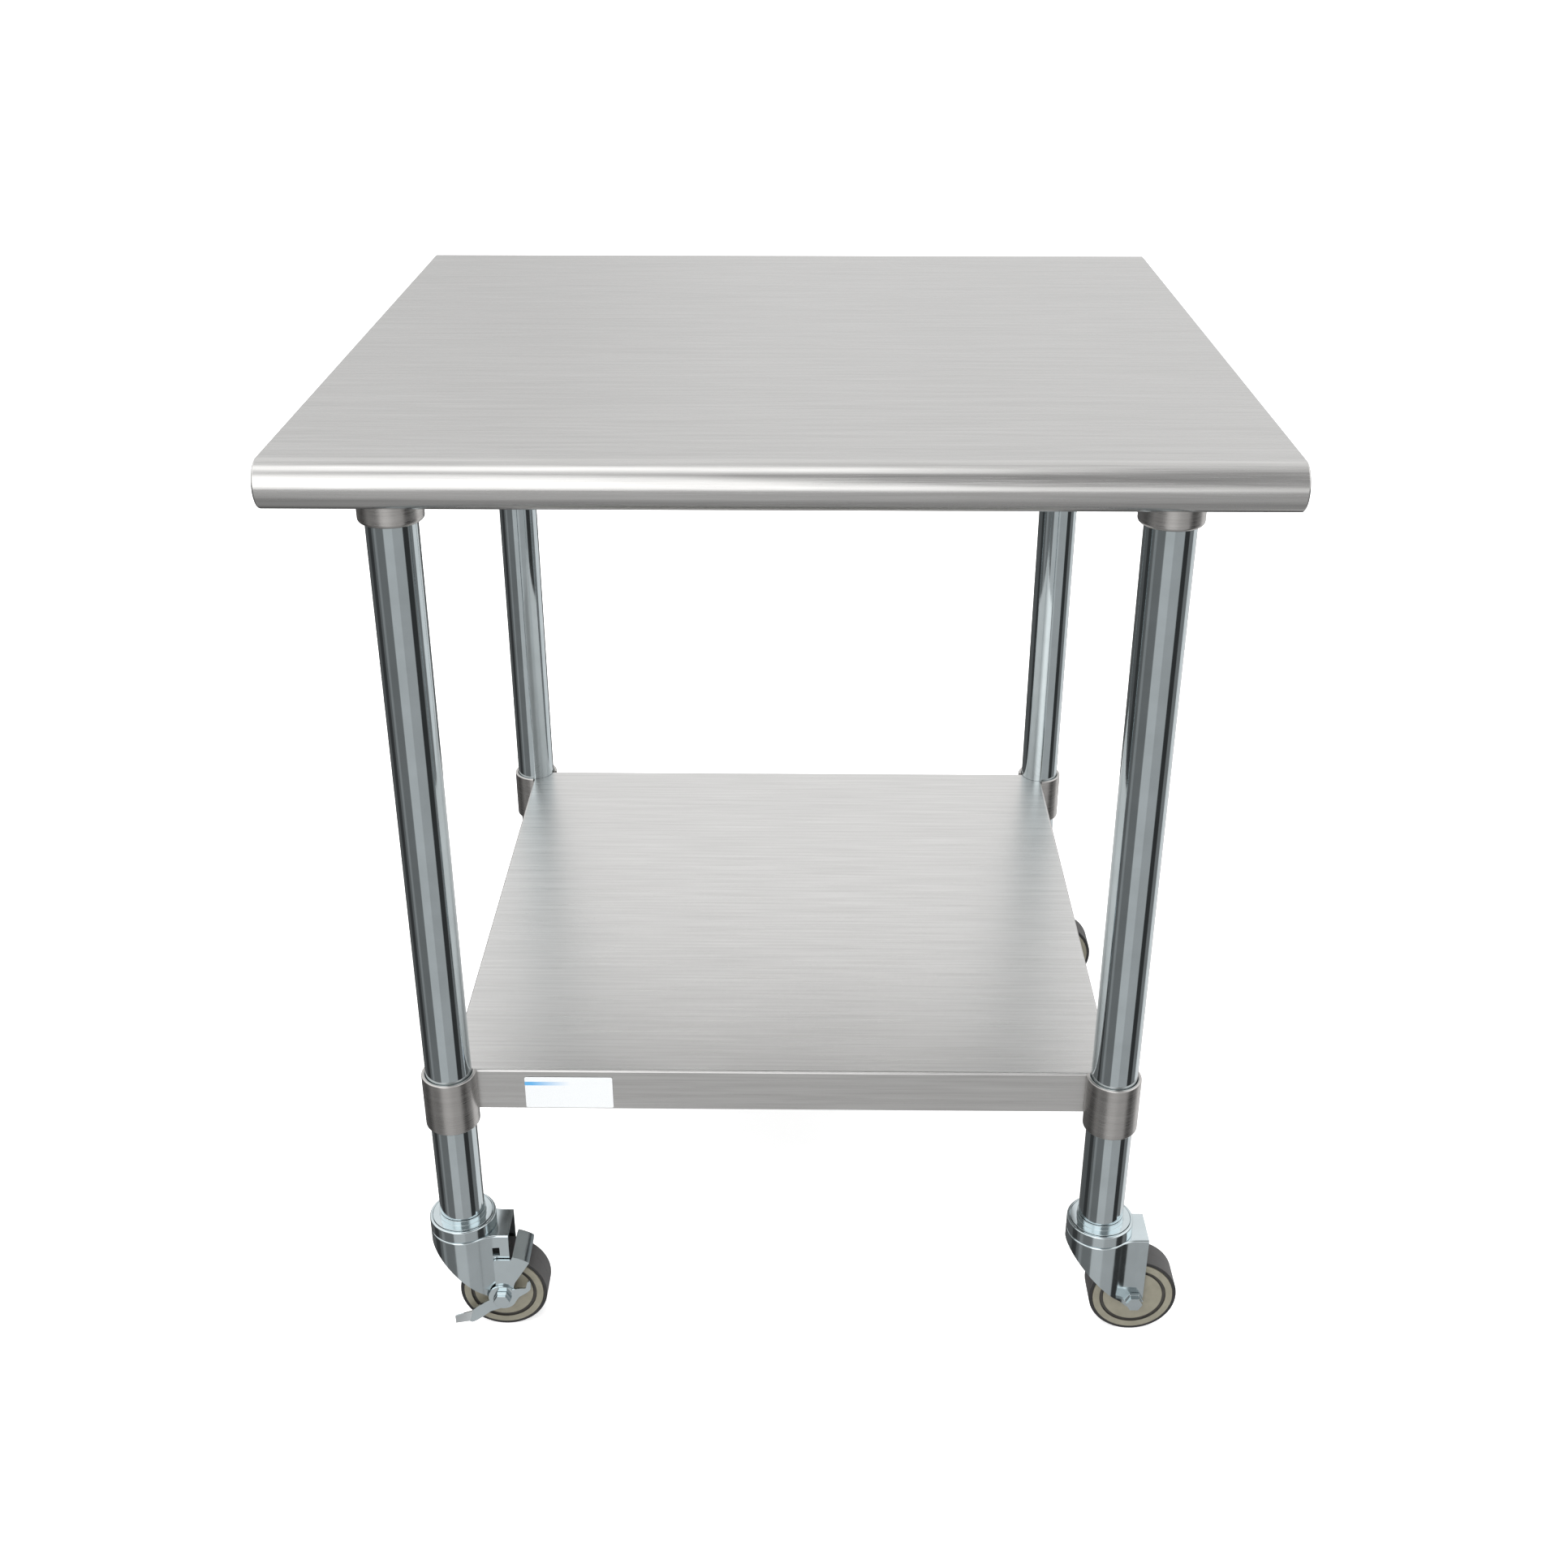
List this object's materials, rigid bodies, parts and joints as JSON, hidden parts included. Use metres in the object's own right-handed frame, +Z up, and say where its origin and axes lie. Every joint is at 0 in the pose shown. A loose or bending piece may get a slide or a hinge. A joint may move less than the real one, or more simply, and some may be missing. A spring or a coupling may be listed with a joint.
{
  "type": "work table on casters",
  "caption": "Square stainless work table with rolled front and back edges, a height-adjustable undershelf on clamping collars, tubular legs and swivel casters with foot brakes.",
  "frame": {"origin": "on the floor, under the centre of the table top", "axes": "+Z up, +X to the right, +Y to the back; the rolled front edge faces -Y and every caster trails towards +X"},
  "size_m": [0.762, 0.762, 0.849],
  "materials": {
    "stainless_sheet": "long-grain brushed stainless sheet",
    "galvanised_sheet": "dull zinc-coated sheet",
    "sleeve_steel": "fine ring-brushed steel",
    "tube_steel": "bright polished tube",
    "caster_steel": "bright zinc-plated pressings",
    "screw_steel": "dark set screw",
    "label": "pale printed plate without lettering",
    "wheel_core": "tan moulded core",
    "wheel_tread": "dark grey tread"
  },
  "bodies": {
    "table": {"table_top": "stainless_sheet", "deck_channel_left": "galvanised_sheet", "deck_channel_centre": "galvanised_sheet", "deck_channel_right": "galvanised_sheet", "leg_socket_front_left": "sleeve_steel", "leg_socket_front_right": "sleeve_steel", "leg_socket_rear_left": "sleeve_steel", "leg_socket_rear_right": "sleeve_steel", "socket_screw_front_left": "screw_steel", "socket_screw_front_right": "screw_steel", "socket_screw_rear_left": "screw_steel", "socket_screw_rear_right": "screw_steel", "leg_tube_front_left": "tube_steel", "leg_tube_front_right": "tube_steel", "leg_tube_rear_left": "tube_steel", "leg_tube_rear_right": "tube_steel", "caster_stem_front_left": "caster_steel", "caster_stem_front_right": "caster_steel", "caster_stem_rear_left": "caster_steel", "caster_stem_rear_right": "caster_steel"},
    "shelf": {"shelf_pan": "stainless_sheet", "shelf_channel": "galvanised_sheet", "label_plate": "label", "shelf_collar_front_left": "sleeve_steel", "shelf_collar_front_right": "sleeve_steel", "shelf_collar_rear_left": "sleeve_steel", "shelf_collar_rear_right": "sleeve_steel", "collar_screw_front_left": "screw_steel", "collar_screw_front_right": "screw_steel", "collar_screw_rear_left": "screw_steel", "collar_screw_rear_right": "screw_steel"},
    "swivel_front_left": {"bearing_cap_front_left": "caster_steel", "fork_front_left": "caster_steel", "axle_bolt_front_left": "caster_steel", "axle_nut_front_left": "caster_steel"},
    "wheel_front_left": {"wheel_hub_front_left": "wheel_core", "wheel_tyre_front_left": "wheel_tread"},
    "swivel_front_right": {"bearing_cap_front_right": "caster_steel", "fork_front_right": "caster_steel", "axle_bolt_front_right": "caster_steel", "axle_nut_front_right": "caster_steel"},
    "wheel_front_right": {"wheel_hub_front_right": "wheel_core", "wheel_tyre_front_right": "wheel_tread"},
    "swivel_rear_left": {"bearing_cap_rear_left": "caster_steel", "fork_rear_left": "caster_steel", "axle_bolt_rear_left": "caster_steel", "axle_nut_rear_left": "caster_steel"},
    "wheel_rear_left": {"wheel_hub_rear_left": "wheel_core", "wheel_tyre_rear_left": "wheel_tread"},
    "swivel_rear_right": {"bearing_cap_rear_right": "caster_steel", "fork_rear_right": "caster_steel", "axle_bolt_rear_right": "caster_steel", "axle_nut_rear_right": "caster_steel"},
    "wheel_rear_right": {"wheel_hub_rear_right": "wheel_core", "wheel_tyre_rear_right": "wheel_tread"},
    "lever_front_left": {"brake_lever_front_left": "caster_steel"},
    "shoe_front_left": {"brake_shoe_front_left": "caster_steel"},
    "lever_rear_left": {"brake_lever_rear_left": "caster_steel"},
    "shoe_rear_left": {"brake_shoe_rear_left": "caster_steel"}
  },
  "joints": [
    {"name": "shelf_height", "type": "slide", "parent": "table", "child": "shelf", "axis": [0, 0, 1], "range_m": [-0.09, 0.4]},
    {"name": "swivel_front_left", "type": "hinge", "parent": "table", "child": "swivel_front_left", "pos_m": [-0.2935, -0.3308, 0.115], "axis": [0, 0, 1], "continuous": true},
    {"name": "roll_front_left", "type": "hinge", "parent": "swivel_front_left", "child": "wheel_front_left", "pos_m": [-0.2591, -0.3308, 0.0405], "axis": [0, 1, 0], "continuous": true},
    {"name": "swivel_front_right", "type": "hinge", "parent": "table", "child": "swivel_front_right", "pos_m": [0.2935, -0.3308, 0.115], "axis": [0, 0, 1], "continuous": true},
    {"name": "roll_front_right", "type": "hinge", "parent": "swivel_front_right", "child": "wheel_front_right", "pos_m": [0.3279, -0.3308, 0.0405], "axis": [0, 1, 0], "continuous": true},
    {"name": "swivel_rear_left", "type": "hinge", "parent": "table", "child": "swivel_rear_left", "pos_m": [-0.2935, 0.2562, 0.115], "axis": [0, 0, 1], "continuous": true},
    {"name": "roll_rear_left", "type": "hinge", "parent": "swivel_rear_left", "child": "wheel_rear_left", "pos_m": [-0.2591, 0.2562, 0.0405], "axis": [0, 1, 0], "continuous": true},
    {"name": "swivel_rear_right", "type": "hinge", "parent": "table", "child": "swivel_rear_right", "pos_m": [0.2935, 0.2562, 0.115], "axis": [0, 0, 1], "continuous": true},
    {"name": "roll_rear_right", "type": "hinge", "parent": "swivel_rear_right", "child": "wheel_rear_right", "pos_m": [0.3279, 0.2562, 0.0405], "axis": [0, 1, 0], "continuous": true},
    {"name": "brake_lever_front_left", "type": "hinge", "parent": "swivel_front_left", "child": "lever_front_left", "pos_m": [-0.2591, -0.3308, 0.0405], "axis": [0, -1, 0], "range_deg": [0, 14]},
    {"name": "brake_shoe_front_left", "type": "slide", "parent": "swivel_front_left", "child": "shoe_front_left", "axis": [-0.4147, 0, -0.91], "range_m": [0, 0.0046]},
    {"name": "brake_lever_rear_left", "type": "hinge", "parent": "swivel_rear_left", "child": "lever_rear_left", "pos_m": [-0.2591, 0.2562, 0.0405], "axis": [0, -1, 0], "range_deg": [0, 14]},
    {"name": "brake_shoe_rear_left", "type": "slide", "parent": "swivel_rear_left", "child": "shoe_rear_left", "axis": [-0.4147, 0, -0.91], "range_m": [0, 0.0046]}
  ],
  "couplings": [
    {"joint": "brake_shoe_front_left", "follows": "brake_lever_front_left", "m_per_rad": 0.01878},
    {"joint": "brake_shoe_rear_left", "follows": "brake_lever_rear_left", "m_per_rad": 0.01878}
  ]
}
